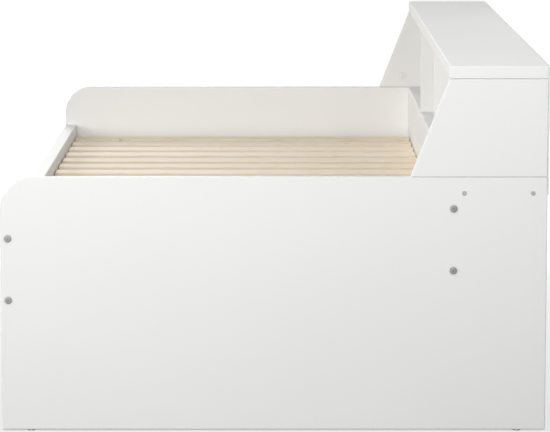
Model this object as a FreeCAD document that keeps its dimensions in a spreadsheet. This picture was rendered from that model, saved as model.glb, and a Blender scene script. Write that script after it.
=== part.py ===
"""Single bed with a bookcase along its right-hand side, in millimetres.

+Z is up, +Y runs along the bed, away from the near end panel, and +X points from the
outer side rail to the bookcase. The origin is on the floor, under the middle of the
bed's outline from the outer rail to the bookcase's back panel.
"""

import FreeCAD, Part
import os
import re

import Sketcher

# Driving sizes: name, millimetres, meaning.
SIZES = (
    ("bed_width", 1140, "across the end panels"),
    ("bed_length", 2050, "over the outer faces of the end panels"),
    ("panel_height", 534, "end panel, without its glides"),
    ("panel_thickness", 18, "end panels and bookcase sides"),
    ("corner_radius", 70, "end panel's free top corner"),
    ("arris", 2, "rounding of every board's edges, but the back panel's"),
    ("rail_thickness", 28, "outer side rail"),
    ("rail_height", 190, "outer side rail"),
    ("rail_drop", 104, "outer rail's top below the end panels' top"),
    ("bookcase_rail_thickness", 16, "board under the shelf's front"),
    ("bookcase_rail_height", 214, "board under the shelf's front"),
    ("side_height", 205, "bookcase side, from the end panel to the top board"),
    ("side_base_depth", 285, "bookcase side at its foot"),
    ("top_depth", 205, "top board, and bookcase side at its head"),
    ("top_thickness", 28, "top board"),
    ("shelf_depth", 203, "shelf and dividers"),
    ("shelf_thickness", 18, "shelf"),
    ("shelf_drop", 2, "shelf's top below the end panels' top"),
    ("divider_thickness", 18, "dividers"),
    ("back_thickness", 3, "back panel"),
    ("back_arris", 0.5, "rounding of the back panel's edges"),
    ("back_skirt", 17, "back panel below the shelf's underside"),
    ("back_inset", 1, "back panel inside the top's and the sides' outer faces"),
    ("batten_width", 28, "shelf battens, front to back"),
    ("batten_height", 28, "shelf battens"),
    ("batten_setback", 16, "rear batten in front of the shelf's rear edge"),
    ("slat_width", 70, "slats, along the bed"),
    ("slat_thickness", 20, "slats"),
    ("slat_edge_radius", 3, "slats' long edges"),
    ("slat_drop", 29, "slats' top below the outer rail's top"),
    ("slat_end_gap", 3, "slat end to rail"),
    ("slat_margin", 27, "first and last slat to the end panels"),
    ("cleat_width", 28, "slat cleats, across the bed"),
    ("cleat_height", 28, "slat cleats"),
    ("cleat_end_gap", 20, "cleat end to end panel"),
    ("bolt_diameter", 6, "rail bolts"),
    ("bolt_length", 70, "rail bolts, under the head"),
    ("bolt_head_diameter", 15, "rail bolts"),
    ("bolt_head_height", 3, "rail bolts, proud of the end panel"),
    ("bolt_head_bevel", 1, "rail bolts"),
    ("bolt_pitch", 130, "upper to lower rail bolt"),
    ("rail_bolt_drop", 25, "upper bolt below the outer rail's top"),
    ("bookcase_bolt_drop", 46, "upper bolt below the bookcase rail's top"),
    ("bolt_past_nut", 5, "bolt tip past its barrel nut"),
    ("nut_diameter", 10, "barrel nuts"),
    ("nut_length", 12, "barrel nuts"),
    ("rail_nut_depth", 18.5, "barrel nut's bore in the outer rail"),
    ("bookcase_nut_depth", 14, "barrel nut's bore in the bookcase rail"),
    ("panel_screw_diameter", 7, "panel screws' thread"),
    ("panel_screw_length", 50, "panel screws"),
    ("panel_screw_head_diameter", 10, "panel screws"),
    ("panel_screw_head_height", 2.5, "panel screws"),
    ("panel_screw_tip", 6, "panel screws"),
    ("divider_screw_inset", 60, "divider screws and dowels from the divider's edges"),
    ("hex_socket", 4, "across the flats of the bolts' and panel screws' sockets"),
    ("socket_depth", 2, "bolts' and panel screws' sockets"),
    ("cam_diameter", 15, "cam discs"),
    ("cam_depth", 13.5, "cam discs"),
    ("cam_backset", 31, "cam centre from the board's edge"),
    ("cam_inset", 64, "cams from the bookcase side's corners"),
    ("cap_diameter", 17, "caps over the cams"),
    ("cap_height", 1.2, "caps, proud of the bookcase side"),
    ("cap_bevel", 0.5, "caps"),
    ("cap_slot_length", 10, "caps"),
    ("cap_slot_width", 1.6, "caps"),
    ("cap_slot_depth", 0.6, "caps"),
    ("cam_bolt_diameter", 6.8, "connecting bolts' shank"),
    ("cam_bolt_thread_diameter", 6, "connecting bolts"),
    ("cam_bolt_thread_length", 11, "connecting bolts"),
    ("cam_bolt_neck_diameter", 4, "connecting bolts"),
    ("cam_bolt_head_diameter", 6.4, "connecting bolts"),
    ("cam_bolt_head_length", 3, "connecting bolts"),
    ("dowel_diameter", 8, "wooden dowels"),
    ("dowel_length", 30, "wooden dowels"),
    ("dowel_bevel", 1, "wooden dowels"),
    ("dowel_in_face", 12, "dowel's depth in a board's face"),
    ("dowel_in_shelf", 10, "dowel's depth in the shelf's underside"),
    ("foot_dowel_inset", 114, "bookcase side's lower dowels from its corners"),
    ("head_dowel_inset", 32, "bookcase side's upper dowels from its corners"),
    ("shelf_dowel_inset", 72, "shelf's end dowels from its edges"),
    ("shelf_dowel_margin", 207, "first and last dowel under the shelf to the end panels"),
    ("screw_diameter", 4, "countersunk screws"),
    ("screw_head_diameter", 8, "countersunk screws"),
    ("screw_head_height", 2.5, "countersunk screws"),
    ("screw_tip", 5, "countersunk screws"),
    ("cleat_screw_length", 40, "screws of the cleats and battens"),
    ("slat_screw_length", 35, "screws of the slats"),
    ("batten_screw_margin", 247, "first and last batten screw to the end panels"),
    ("recess_width", 1.2, "cross recess of the screws and cams"),
    ("screw_recess_reach", 4.4, "cross recess of the screws, tip to tip"),
    ("cam_recess_reach", 9, "cross recess of the cams, tip to tip"),
    ("recess_depth", 1.5, "cross recess of the screws and cams"),
    ("nail_diameter", 1.8, "back panel nails"),
    ("nail_length", 22, "back panel nails"),
    ("nail_head_diameter", 4, "back panel nails"),
    ("nail_head_height", 0.8, "back panel nails"),
    ("nail_tip", 3, "back panel nails"),
    ("nail_margin", 47, "first and last nail to the end panels"),
    ("upright_nail_inset", 62, "nails in the sides and dividers, from shelf and top"),
    ("glide_diameter", 16, "floor glides"),
    ("glide_height", 3, "floor glides under the end panels"),
    ("glide_bevel", 0.8, "floor glides"),
    ("glide_pin_diameter", 2.5, "floor glides"),
    ("glide_pin_length", 15, "floor glides"),
    ("glide_inset", 60, "floor glides from the end panels' edges"),
    ("fit", 0.15, "radial clearance round every fastener"),
    ("end_play", 1, "bore past a fastener's end"),
)

SLAT_COUNT = 16
CLEAT_SCREW_COUNT = 5
BATTEN_SCREW_COUNT = 5
SHELF_DOWEL_COUNT = 5
NAIL_COUNT = 9
GAPS_PER_CLEAT_SCREW = 3

# Places that several pieces share, as formulas of the driving sizes.
LEFT = "(-(bed_width + back_thickness) / 2)"
REAR = f"({LEFT} + bed_width)"
FRONT = f"({REAR} - shelf_depth)"
SIDE_FOOT = f"({REAR} - side_base_depth)"
TOP_FRONT = f"({REAR} - top_depth)"
RAIL_INSIDE = f"({LEFT} + rail_thickness)"
BOOKCASE_RAIL_BACK = f"({FRONT} + bookcase_rail_thickness)"

PANEL_TOP = "(glide_height + panel_height)"
RAIL_TOP = f"({PANEL_TOP} - rail_drop)"
SLAT_TOP = f"({RAIL_TOP} - slat_drop)"
CLEAT_TOP = f"({SLAT_TOP} - slat_thickness)"
SHELF_TOP = f"({PANEL_TOP} - shelf_drop)"
SHELF_UNDER = f"({SHELF_TOP} - shelf_thickness)"
SHELF_MIDDLE = f"({SHELF_TOP} - shelf_thickness / 2)"
TOP_UNDER = f"({PANEL_TOP} + side_height)"
TOP_TOP = f"({TOP_UNDER} + top_thickness)"
BATTEN_UNDER = f"({SHELF_UNDER} - batten_height)"

END_FACE = "(bed_length / 2)"
END_INSIDE = f"({END_FACE} - panel_thickness)"
PANEL_MIDDLE = f"({END_FACE} - panel_thickness / 2)"
SPAN = f"(2 * {END_INSIDE})"
DIVIDER_MIDDLE = f"(({SPAN} - 2 * divider_thickness) / 6 + divider_thickness / 2)"
SLAT_PITCH = f"(({SPAN} - 2 * slat_margin - slat_width) / {SLAT_COUNT - 1})"

RAIL_BOLT_X = f"({RAIL_INSIDE} - rail_nut_depth + nut_length / 2)"
BOOKCASE_BOLT_X = f"({BOOKCASE_RAIL_BACK} - bookcase_nut_depth + nut_length / 2)"
NUT_FROM_END = "(bolt_length - bolt_past_nut - nut_diameter / 2)"
FRONT_BATTEN_X = f"({BOOKCASE_RAIL_BACK} + batten_width / 2)"
REAR_BATTEN_X = f"({REAR} - batten_setback - batten_width / 2)"

# The near and far end: the sign of Y there, and the direction into the bed.
ENDS = (("near", "-", "+Y"), ("far", "+", "-Y"))

WAYS = {
    "+X": FreeCAD.Vector(1, 0, 0),
    "-X": FreeCAD.Vector(-1, 0, 0),
    "+Y": FreeCAD.Vector(0, 1, 0),
    "-Y": FreeCAD.Vector(0, -1, 0),
    "+Z": FreeCAD.Vector(0, 0, 1),
    "-Z": FreeCAD.Vector(0, 0, -1),
}
BACKWARD = {"+Z": "-Z", "-Z": "+Z"}
CLOSE = 0.001

doc = FreeCAD.newDocument("bookcase_bed")
sheet = doc.addObject("Spreadsheet::Sheet", "sizes")
pieces = {}
bores = {}


def write_sheet():
    """Put each driving size in a row: its meaning, its name and its value."""
    for row, (name, value, meaning) in enumerate(SIZES, start=1):
        sheet.set(f"A{row}", meaning)
        sheet.set(f"B{row}", name)
        sheet.set(f"C{row}", str(value))
        sheet.setAlias(f"C{row}", name)
    doc.recompute()


def cells(formula):
    """The formula with each size's name as a reference to its cell."""
    names = {name for name, value, meaning in SIZES}

    def cell(word):
        return f"sizes.{word[0]}" if word[0] in names else word[0]

    return re.sub("[a-z_]+", cell, formula)


def bind(item, **formulas):
    """Bind the item's properties to formulas of the driving sizes."""
    for name, formula in formulas.items():
        item.setExpression(name, cells(formula))


def put(item, spot, way="+Z", toward=None):
    """Turn the item's own Z to way, and its Y to toward, and put its origin on the spot."""
    if toward is None:
        turn = FreeCAD.Rotation(WAYS["+Z"], WAYS[way])
    else:
        turn = FreeCAD.Rotation(FreeCAD.Vector(), WAYS[toward], WAYS[way], "ZYX")
    item.Placement = FreeCAD.Placement(FreeCAD.Vector(), turn)
    for axis, formula in zip("xyz", spot):
        item.setExpression(f"Placement.Base.{axis}", cells(formula))
    return item


def block(name, spot, size):
    """A straight block, from the corner at spot."""
    box = doc.addObject("Part::Box", name)
    bind(box, Length=size[0], Width=size[1], Height=size[2])
    return put(box, spot)


def rod(name, radius, length, spot=("0", "0", "0"), way="+Z", toward=None):
    """A cylinder from spot, along way."""
    cylinder = doc.addObject("Part::Cylinder", name)
    bind(cylinder, Radius=radius, Height=length)
    return put(cylinder, spot, way, toward)


def cut(name, base, tools):
    """The base without the tools."""
    tool = tools[0]
    if len(tools) > 1:
        tool = doc.addObject("Part::MultiFuse", f"{name}_tools")
        tool.Shapes = tools
    result = doc.addObject("Part::Cut", name)
    result.Base = base
    result.Tool = tool
    return result


def outline(body, plane, points):
    """A closed sketch in the body, with each corner's coordinates bound to formulas."""
    sketch = body.newObject("Sketcher::SketchObject", f"{body.Name}_outline")
    support = next(item for item in body.Origin.OriginFeatures if item.Role == plane)
    sketch.AttachmentSupport = (support, [""])
    sketch.MapMode = "FlatFace"
    count = len(points)
    start = [FreeCAD.Rotation(WAYS["+Z"], 360 * i / count) * WAYS["+X"] for i in range(count)]
    for i in range(count):
        sketch.addGeometry(Part.LineSegment(start[i], start[(i + 1) % count]), False)
    for i in range(count):
        sketch.addConstraint(Sketcher.Constraint("Coincident", i, 2, (i + 1) % count, 1))
    for i, point in enumerate(points):
        for kind, formula in zip(("DistanceX", "DistanceY"), point):
            held = sketch.addConstraint(Sketcher.Constraint(kind, -1, 1, i, 1, 1.0))
            sketch.setExpression(f"Constraints[{held}]", cells(formula))
    return sketch


def padded(name, plane, points, length):
    """A body: the outline through points, padded by length."""
    body = doc.addObject("PartDesign::Body", name)
    pad = body.newObject("PartDesign::Pad", f"{name}_pad")
    pad.Profile = outline(body, plane, points)
    bind(pad, Length=length)
    doc.recompute()
    return body, pad


def turned(name, points):
    """A body: the outline through points of radius and height, turned about its Z axis."""
    body = doc.addObject("PartDesign::Body", name)
    sketch = outline(body, "XZ_Plane", points)
    turn = body.newObject("PartDesign::Revolution", f"{name}_turn")
    turn.Profile = sketch
    turn.ReferenceAxis = (sketch, ["V_Axis"])
    turn.Angle = 360
    doc.recompute()
    return body


def rounded(body, base, radius, chosen=lambda edge: True):
    """Round the base's edges that chosen picks, which are all of them unless it says otherwise."""
    names = [f"Edge{i}" for i, edge in enumerate(base.Shape.Edges, start=1) if chosen(edge)]
    fillet = body.newObject("PartDesign::Fillet", f"{body.Name}_fillet")
    fillet.Base = (base, names)
    bind(fillet, Radius=radius)
    doc.recompute()
    return fillet


def in_face(edge):
    """Whether an edge lies in one of the large faces of a board that faces along Y."""
    return edge.BoundBox.YLength < CLOSE


def board(name, corner, size, arris="arris"):
    """A straight board from its near, left, lower corner, with rounded edges."""
    length, width, height = size
    points = (("0", "0"), (length, "0"), (length, width), ("0", width))
    body, pad = padded(f"{name}_blank", "XY_Plane", points, height)
    rounded(body, pad, arris)
    return put(body, corner)


def copies(name, master, spots):
    """A node of equal fasteners, one at each spot: a place, a way and maybe a side."""
    links = []
    for number, (spot, *turn) in enumerate(spots, start=1):
        link = doc.addObject("App::Link", f"{name}_{number:02d}")
        link.LinkedObject = master
        links.append(put(link, spot, *turn))
    group = doc.addObject("Part::Compound", name)
    group.Links = links
    pieces[name] = group


def bore(boards, radius, length, spot, way):
    """A round bore in the named boards."""
    tool = rod("bore", radius, length, spot, way)
    for board in boards:
        bores.setdefault(board, []).append(tool)


def countersink(board, wide, narrow, depth, spot, way):
    """A cone-shaped seat in the named board, from its wide mouth at spot."""
    cone = doc.addObject("Part::Cone", f"{board}_countersink")
    bind(cone, Radius1=wide, Radius2=narrow, Height=depth)
    bores.setdefault(board, []).append(put(cone, spot, way))


def finish_board(name, blank):
    """The board as it leaves the drill."""
    pieces[name] = cut(name, blank, bores[name])


def offset(spot, way, distance):
    """The spot moved by a formula along way."""
    sign, axis = way
    moved = list(spot)
    at = "XYZ".index(axis)
    moved[at] = f"({moved[at]} {sign} {distance})"
    return tuple(moved)


# ---- fasteners ------------------------------------------------------------------------


def hex_socket(name, spot):
    """A six-sided socket tool whose mouth is at spot."""
    prism = doc.addObject("Part::Prism", name)
    prism.Polygon = 6
    bind(prism, Circumradius="hex_socket / 2 / cos(30)", Height="socket_depth")
    return put(prism, spot)


def cross(name, bottom, reach, width="recess_width", depth="recess_depth"):
    """The two arms of a cross that is reach from tip to tip, from the height bottom up."""
    arms = []
    for number, (along_x, along_y) in enumerate(((reach, width), (width, reach))):
        corner = (f"-({along_x}) / 2", f"-({along_y}) / 2", bottom)
        arms.append(block(f"{name}_arm_{number}", corner, (along_x, along_y, depth)))
    return arms


def make_bolt():
    """Rail bolt, with the head's seat at its origin and the shank along +Z."""
    head = "bolt_head_diameter / 2"
    shank = "bolt_diameter / 2"
    body = turned("bolt_body", (
        ("0", "-bolt_head_height"),
        (f"{head} - bolt_head_bevel", "-bolt_head_height"),
        (head, "-bolt_head_height + bolt_head_bevel"),
        (head, "0"),
        (shank, "0"),
        (shank, "bolt_length"),
        ("0", "bolt_length"),
    ))
    return cut("bolt", body, [hex_socket("bolt_socket", ("0", "0", "-bolt_head_height"))])


def make_panel_screw():
    """Panel screw, with its flush head's face at its origin and the shank along +Z."""
    head = "panel_screw_head_diameter / 2"
    shank = "panel_screw_diameter / 2"
    shoulder = f"panel_screw_head_height + {head} - {shank}"
    body = turned("panel_screw_body", (
        ("0", "0"),
        (head, "0"),
        (head, "panel_screw_head_height"),
        (shank, shoulder),
        (shank, "panel_screw_length - panel_screw_tip"),
        (f"{shank} / 2", "panel_screw_length"),
        ("0", "panel_screw_length"),
    ))
    return cut("panel_screw", body, [hex_socket("panel_screw_socket", ("0", "0", "0"))])


def make_screw(name, length):
    """Countersunk screw, with its flush head's face at its origin and the shank along +Z."""
    shank = "screw_diameter / 2"
    body = turned(f"{name}_body", (
        ("0", "0"),
        ("screw_head_diameter / 2", "0"),
        (shank, "screw_head_height"),
        (shank, f"{length} - screw_tip"),
        ("0", length),
    ))
    return cut(name, body, cross(f"{name}_recess", "0", "screw_recess_reach"))


def make_nut():
    """Barrel nut along +Z, cross-bored along Y, with its screwdriver slot at the far end."""
    body = rod("nut_body", "nut_diameter / 2", "nut_length")
    thread = rod(
        "nut_thread",
        "bolt_diameter / 2 + fit",
        "2 * nut_diameter",
        ("0", "-nut_diameter", "nut_length / 2"),
        "+Y",
    )
    slot = block(
        "nut_slot",
        ("-nut_diameter", "-recess_width / 2", "nut_length - recess_depth"),
        ("2 * nut_diameter", "recess_width", "recess_depth"),
    )
    return cut("nut", body, [thread, slot])


def make_cam():
    """Cam disc along +Z: its bolt comes in along its Y, and the recess is in its face."""
    axis_height = "cam_depth - panel_thickness / 2"
    body = rod("cam_body", "cam_diameter / 2", "cam_depth")
    neck = rod(
        "cam_neck",
        "cam_bolt_neck_diameter / 2 + fit",
        "cam_diameter",
        ("0", "0", axis_height),
        "+Y",
    )
    chamber = rod(
        "cam_chamber",
        "cam_bolt_head_diameter / 2 + fit",
        "cam_bolt_head_length + 2 * fit",
        ("0", "-fit", axis_height),
        "+Y",
    )
    recess = cross("cam_recess", "cam_depth - recess_depth", "cam_recess_reach")
    return cut("cam", body, [neck, chamber, *recess])


def make_cap():
    """Cap over a cam, from the cam's face at its origin along +Z, with its slot along Y."""
    radius = "cap_diameter / 2"
    disc = turned("cap_disc", (
        ("0", "0"),
        (radius, "0"),
        (radius, "cap_height - cap_bevel"),
        (f"{radius} - cap_bevel", "cap_height"),
        ("0", "cap_height"),
    ))
    depth = "(recess_depth - fit)"
    stud = cross("cap_stud", f"-1 * {depth}", "cam_recess_reach - 2 * fit", "recess_width - 2 * fit", depth)
    body = doc.addObject("Part::MultiFuse", "cap_body")
    body.Shapes = [disc, *stud]
    slot = block(
        "cap_slot",
        ("-cap_slot_width / 2", "-cap_slot_length / 2", "cap_height - cap_slot_depth"),
        ("cap_slot_width", "cap_slot_length", "cap_slot_depth"),
    )
    return cut("cap", body, [slot])


def make_cam_bolt():
    """Connecting bolt, from its thread below the joint's plane at Z 0 up to the cam's centre."""
    thread = "cam_bolt_thread_diameter / 2"
    shank = "cam_bolt_diameter / 2"
    neck = "cam_bolt_neck_diameter / 2"
    head = "cam_bolt_head_diameter / 2"
    shank_end = "cam_backset - cam_diameter / 2 - end_play"
    return turned("cam_bolt", (
        ("0", "-cam_bolt_thread_length"),
        (thread, "-cam_bolt_thread_length"),
        (thread, "0"),
        (shank, "0"),
        (shank, shank_end),
        (neck, shank_end),
        (neck, "cam_backset - cam_bolt_head_length"),
        (head, "cam_backset - cam_bolt_head_length"),
        (head, "cam_backset"),
        ("0", "cam_backset"),
    ))


def make_dowel():
    """Wooden dowel along +Z with bevelled ends."""
    radius = "dowel_diameter / 2"
    return turned("dowel", (
        ("0", "0"),
        (f"{radius} - dowel_bevel", "0"),
        (radius, "dowel_bevel"),
        (radius, "dowel_length - dowel_bevel"),
        (f"{radius} - dowel_bevel", "dowel_length"),
        ("0", "dowel_length"),
    ))


def make_nail():
    """Back panel nail, with its flush head's face at its origin and the shank along +Z."""
    shank = "nail_diameter / 2"
    return turned("nail", (
        ("0", "0"),
        ("nail_head_diameter / 2", "0"),
        ("nail_head_diameter / 2", "nail_head_height"),
        (shank, "nail_head_height"),
        (shank, "nail_length - nail_tip"),
        ("0", "nail_length"),
    ))


def make_glide():
    """Floor glide, from its foot at Z 0 up to the end of its pin."""
    foot = "glide_diameter / 2"
    pin = "glide_pin_diameter / 2"
    return turned("glide", (
        ("0", "0"),
        (f"{foot} - glide_bevel", "0"),
        (foot, "glide_bevel"),
        (foot, "glide_height"),
        (pin, "glide_height"),
        (pin, "glide_height + glide_pin_length"),
        ("0", "glide_height + glide_pin_length"),
    ))


# ---- joints: each gives its fasteners' spots and drills their boards ---------------------


def dowel_spot(boards, joint, way, depth_before):
    """A dowel across a joint: depth_before of it lies before the joint's plane, along way."""
    start = offset(joint, way, f"-1 * ({depth_before})")
    bore_start = offset(start, way, "-1 * end_play")
    bore(boards, "dowel_diameter / 2 + fit", "dowel_length + 2 * end_play", bore_start, way)
    return start, way


def screw_spot(boards, head, way, length):
    """A countersunk screw whose head is flush in the first board."""
    bore(boards, "screw_diameter / 2 + fit", f"{length} + end_play", head, way)
    countersink(
        boards[0],
        "screw_head_diameter / 2 + fit",
        "screw_diameter / 2 + fit",
        "screw_head_height",
        head,
        way,
    )
    return head, way


def panel_screw_spot(boards, head, way):
    """A panel screw whose head is flush in the first board."""
    radius = "panel_screw_head_diameter / 2"
    bore(boards, "panel_screw_diameter / 2 + fit", "panel_screw_length + end_play", head, way)
    bore([boards[0]], f"{radius} + fit", "panel_screw_head_height", head, way)
    countersink(
        boards[0],
        f"{radius} + fit",
        "panel_screw_diameter / 2 + fit",
        f"{radius} - panel_screw_diameter / 2",
        offset(head, way, "panel_screw_head_height"),
        way,
    )
    return head, way


def cam_spots(side, other, joint, way, bottom, inward):
    """A cam in the side, from its bore's bottom inward, its cap, and its bolt along way from the joint."""
    back = BACKWARD[way]
    bore([side], "cam_diameter / 2 + fit", "cam_depth + end_play", bottom, inward)
    bore([side], "cam_bolt_diameter / 2 + fit", "cam_backset", joint, way)
    bore([other], "cam_bolt_thread_diameter / 2 + fit", "cam_bolt_thread_length + end_play", joint, back)
    cap = offset(bottom, inward, "cam_depth")
    return (bottom, inward, back), (cap, inward, back), (joint, way)


def spread(count, half_length):
    """Places along the bed: count of them, evenly from one end of the half lengths to the other."""
    half = (count - 1) / 2
    return [f"({(i - half) / half} * {half_length})" for i in range(count)]


def join_rails():
    """Bolts, barrel nuts and a dowel at both ends of both rails."""
    bolts = []
    nuts = []
    dowels = []
    bookcase_rail = ("bookcase_rail", BOOKCASE_BOLT_X, SHELF_UNDER, "bookcase_bolt_drop", BOOKCASE_RAIL_BACK,
                     "bookcase_nut_depth", f"{FRONT} + bookcase_rail_thickness / 2")
    outer_rail = ("outer_rail", RAIL_BOLT_X, RAIL_TOP, "rail_bolt_drop", RAIL_INSIDE,
                  "rail_nut_depth", f"{LEFT} + rail_thickness / 2")
    for rail, x, rail_top, drop, nut_face, nut_depth, dowel_x in (outer_rail, bookcase_rail):
        for end, sign, inward in ENDS:
            panel = f"end_panel_{end}"
            for lower in ("0", "bolt_pitch"):
                z = f"{rail_top} - {drop} - {lower}"
                head = (x, f"{sign}{END_FACE}", z)
                bore([panel, rail], "bolt_diameter / 2 + fit", "bolt_length + end_play", head, inward)
                bolts.append((head, inward))
                nut_y = f"{sign}({END_FACE} - {NUT_FROM_END})"
                nut = (f"{nut_face} - {nut_depth}", nut_y, z)
                bore([rail], "nut_diameter / 2 + fit", f"{nut_depth} + end_play", nut, "+X")
                nuts.append((nut, "+X"))
            joint = (dowel_x, f"{sign}{END_INSIDE}", f"{rail_top} - {drop} - bolt_pitch / 2")
            dowels.append(dowel_spot([panel, rail], joint, inward, "dowel_in_face"))
    copies("rail_bolts", make_bolt(), bolts)
    copies("barrel_nuts", make_nut(), nuts)
    return dowels


def join_shelf(dowel, panel_screw, screw):
    """The shelf on the bookcase rail, the battens and the end panels, and the dividers on it."""
    dowels = []
    panel_screws = []
    screws = []
    for end, sign, inward in ENDS:
        panel = f"end_panel_{end}"
        for x in (f"{FRONT} + shelf_dowel_inset", f"{REAR} - shelf_dowel_inset"):
            joint = (x, f"{sign}{END_INSIDE}", SHELF_MIDDLE)
            dowels.append(dowel_spot([panel, "bookcase_shelf"], joint, inward, "dowel_in_face"))
        for batten, x in (("shelf_batten_front", FRONT_BATTEN_X), ("shelf_batten_rear", REAR_BATTEN_X)):
            head = (x, f"{sign}{END_FACE}", f"{BATTEN_UNDER} + batten_height / 2")
            panel_screws.append(panel_screw_spot([panel, batten], head, inward))
        for x in (f"{FRONT} + divider_screw_inset", f"{REAR} - divider_screw_inset"):
            head = (x, f"{sign}{DIVIDER_MIDDLE}", SHELF_UNDER)
            panel_screws.append(panel_screw_spot(["bookcase_shelf", f"divider_{end}"], head, "+Z"))
    for y in spread(SHELF_DOWEL_COUNT, f"({END_INSIDE} - shelf_dowel_margin)"):
        joint = (f"{FRONT} + bookcase_rail_thickness / 2", y, SHELF_UNDER)
        boards = ["bookcase_rail", "bookcase_shelf"]
        dowels.append(dowel_spot(boards, joint, "+Z", "dowel_length - dowel_in_shelf"))
    for y in spread(BATTEN_SCREW_COUNT, f"({END_INSIDE} - batten_screw_margin)"):
        for batten, x in (("shelf_batten_front", FRONT_BATTEN_X), ("shelf_batten_rear", REAR_BATTEN_X)):
            head = (x, y, BATTEN_UNDER)
            screws.append(screw_spot([batten, "bookcase_shelf"], head, "+Z", "cleat_screw_length"))
    copies("shelf_dowels", dowel, dowels)
    copies("panel_screws", panel_screw, panel_screws)
    copies("batten_screws", screw, screws)


def join_bookcase(dowel):
    """The sides on the end panels, and the top on the sides and dividers."""
    cams = []
    caps = []
    cam_bolts = []
    dowels = []
    for end, sign, inward in ENDS:
        side = f"bookcase_side_{end}"
        panel = f"end_panel_{end}"
        middle = f"{sign}{PANEL_MIDDLE}"
        bottom_y = f"{sign}({END_INSIDE} + cam_depth)"
        foot = (side, panel, SIDE_FOOT, PANEL_TOP, "+Z", "foot_dowel_inset", "dowel_length / 2")
        head = (side, "bookcase_top", TOP_FRONT, TOP_UNDER, "-Z", "head_dowel_inset", "dowel_in_face")
        for side, other, front, z, way, dowel_inset, before in (foot, head):
            for x in (f"{front} + cam_inset", f"{REAR} - cam_inset"):
                joint = (x, middle, z)
                bottom = (x, bottom_y, offset(joint, way, "cam_backset")[2])
                cam, cap, cam_bolt = cam_spots(side, other, joint, way, bottom, inward)
                cams.append(cam)
                caps.append(cap)
                cam_bolts.append(cam_bolt)
            for x in (f"{front} + {dowel_inset}", f"{REAR} - {dowel_inset}"):
                dowels.append(dowel_spot([other, side], (x, middle, z), way, before))
        for x in (f"{FRONT} + divider_screw_inset", f"{REAR} - divider_screw_inset"):
            joint = (x, f"{sign}{DIVIDER_MIDDLE}", TOP_UNDER)
            boards = ["bookcase_top", f"divider_{end}"]
            dowels.append(dowel_spot(boards, joint, "-Z", "dowel_in_face"))
    copies("cam_discs", make_cam(), cams)
    copies("cam_caps", make_cap(), caps)
    copies("cam_bolts", make_cam_bolt(), cam_bolts)
    copies("bookcase_dowels", dowel, dowels)


def join_cleats(screw):
    """Screws from each cleat into its rail, level with every third gap between slats."""
    screws = []
    z = f"{CLEAT_TOP} - cleat_height / 2"
    outer = ("cleat_outer", "outer_rail", f"{RAIL_INSIDE} + cleat_width", "-X")
    inner = ("cleat_bookcase", "bookcase_rail", f"{FRONT} - cleat_width", "+X")
    for cleat, rail, x, way in (outer, inner):
        for i in range(CLEAT_SCREW_COUNT):
            gaps = GAPS_PER_CLEAT_SCREW * (i - (CLEAT_SCREW_COUNT - 1) / 2)
            head = (x, f"{gaps} * {SLAT_PITCH}", z)
            screws.append(screw_spot([cleat, rail], head, way, "cleat_screw_length"))
    copies("cleat_screws", screw, screws)


def join_back(nail):
    """Nails from the back panel into the top, the shelf, the sides and the dividers."""
    nails = []
    x = f"({REAR} + back_thickness)"
    rows = [("bookcase_top", y, f"{TOP_UNDER} + top_thickness / 2")
            for y in spread(NAIL_COUNT, f"({END_INSIDE} - nail_margin)")]
    rows += [("bookcase_shelf", y, SHELF_MIDDLE) for board, y, z in rows]
    for end, sign, inward in ENDS:
        for board, y in (("bookcase_side", PANEL_MIDDLE), ("divider", DIVIDER_MIDDLE)):
            for z in (f"{SHELF_TOP} + upright_nail_inset", f"{TOP_UNDER} - upright_nail_inset"):
                rows.append((f"{board}_{end}", f"{sign}{y}", z))
    for board, y, z in rows:
        head = (x, y, z)
        bore(["back_panel", board], "nail_diameter / 2 + fit", "nail_length + end_play", head, "-X")
        bore(["back_panel"], "nail_head_diameter / 2 + fit", "nail_head_height", head, "-X")
        nails.append((head, "-X"))
    copies("back_panel_nails", nail, nails)


def add_glides(glide):
    """A glide under both ends of each end panel."""
    glides = []
    for end, sign, inward in ENDS:
        for x in (f"{LEFT} + glide_inset", f"{REAR} - glide_inset"):
            foot = (x, f"{sign}{PANEL_MIDDLE}", "0")
            length = "glide_height + glide_pin_length + end_play"
            bore([f"end_panel_{end}"], "glide_pin_diameter / 2 + fit", length, foot, "+Z")
            glides.append((foot, "+Z"))
    copies("floor_glides", glide, glides)


# ---- boards -----------------------------------------------------------------------------


def upright(name, sign, points):
    """A board the thickness of an end panel, standing at one end of the bed."""
    body, pad = padded(f"{name}_blank", "XZ_Plane", points, "panel_thickness")
    outer = {"-": f"-{END_INSIDE}", "+": END_FACE}[sign]
    put(body, ("0", outer, "0"))
    return body, pad


def make_end_panels():
    """The two end panels, each with a round free top corner."""
    points = ((LEFT, "glide_height"), (REAR, "glide_height"), (REAR, PANEL_TOP), (LEFT, PANEL_TOP))
    for end, sign, inward in ENDS:
        name = f"end_panel_{end}"
        body, pad = upright(name, sign, points)
        box = pad.Shape.BoundBox

        def at_free_corner(edge):
            return edge.BoundBox.XMax - box.XMin < CLOSE and box.ZMax - edge.BoundBox.ZMin < CLOSE

        cornered = rounded(body, pad, "corner_radius", at_free_corner)
        rounded(body, cornered, "arris", in_face)
        finish_board(name, body)


def make_bookcase_sides():
    """The two slant-fronted sides that stand on the end panels."""
    points = ((SIDE_FOOT, PANEL_TOP), (REAR, PANEL_TOP), (REAR, TOP_UNDER), (TOP_FRONT, TOP_UNDER))
    for end, sign, inward in ENDS:
        name = f"bookcase_side_{end}"
        body, pad = upright(name, sign, points)
        rounded(body, pad, "arris", in_face)
        finish_board(name, body)


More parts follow.
